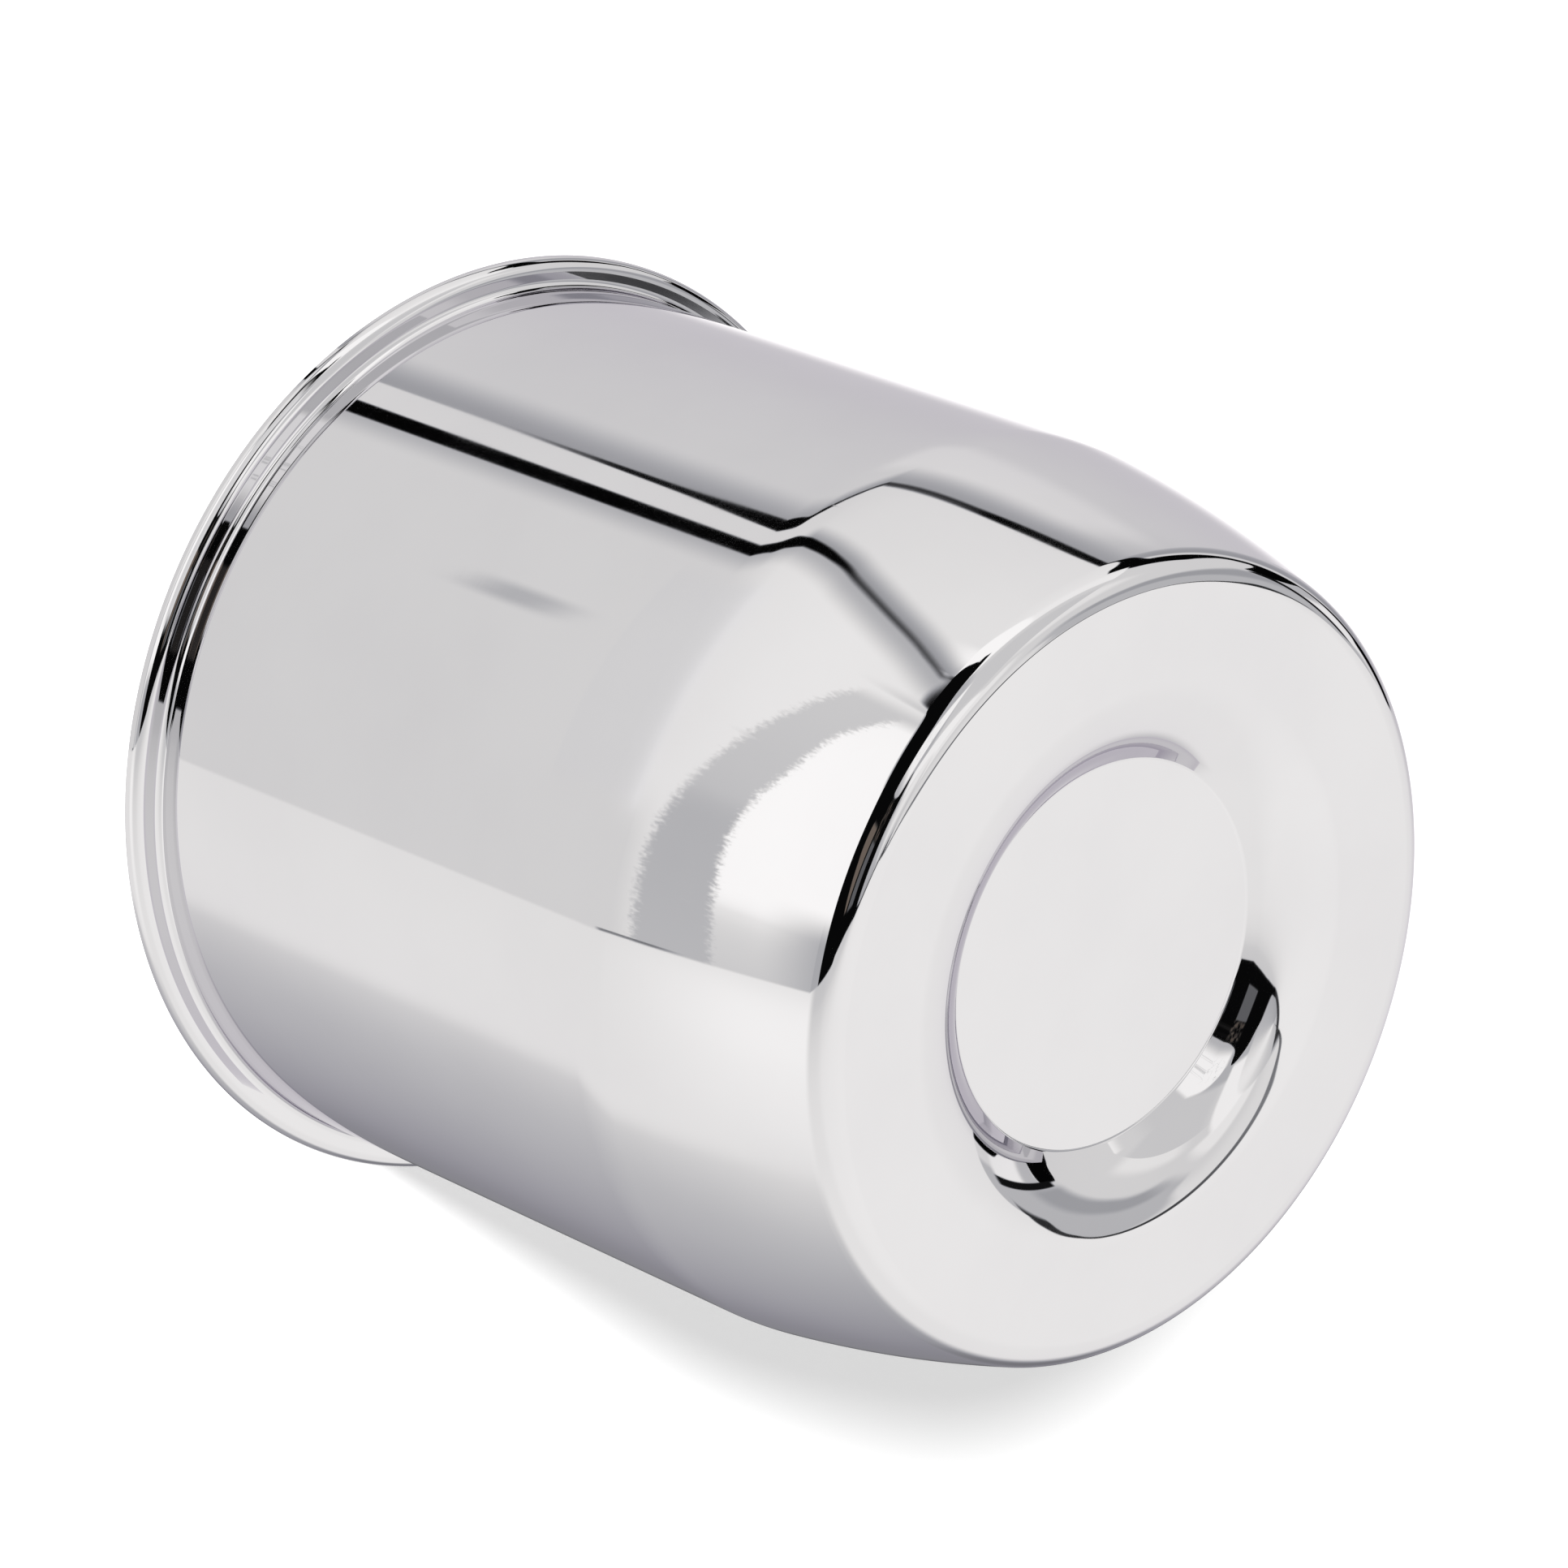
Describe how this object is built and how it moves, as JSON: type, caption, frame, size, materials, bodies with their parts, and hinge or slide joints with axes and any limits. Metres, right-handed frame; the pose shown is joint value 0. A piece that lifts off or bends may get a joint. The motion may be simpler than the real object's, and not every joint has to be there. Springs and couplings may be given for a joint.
{
  "type": "wheel center cap",
  "caption": "Push-through wheel centre cap: chromed cup drawn from sheet steel, with a turned-down lip, a tapered closed end and a round dish pressed into its flat face.",
  "frame": {"origin": "centre of the foot of the lip, on the cap's axis, at the open end", "axes": "+Z along the cap's axis, from the open end to the closed face"},
  "size_m": [0.115, 0.115, 0.11],
  "materials": {
    "chrome_plate": "mirror-polished decorative chrome plate outside, duller plate inside"
  },
  "bodies": {
    "root": {"center_cap": "chrome_plate"}
  },
  "joints": []
}
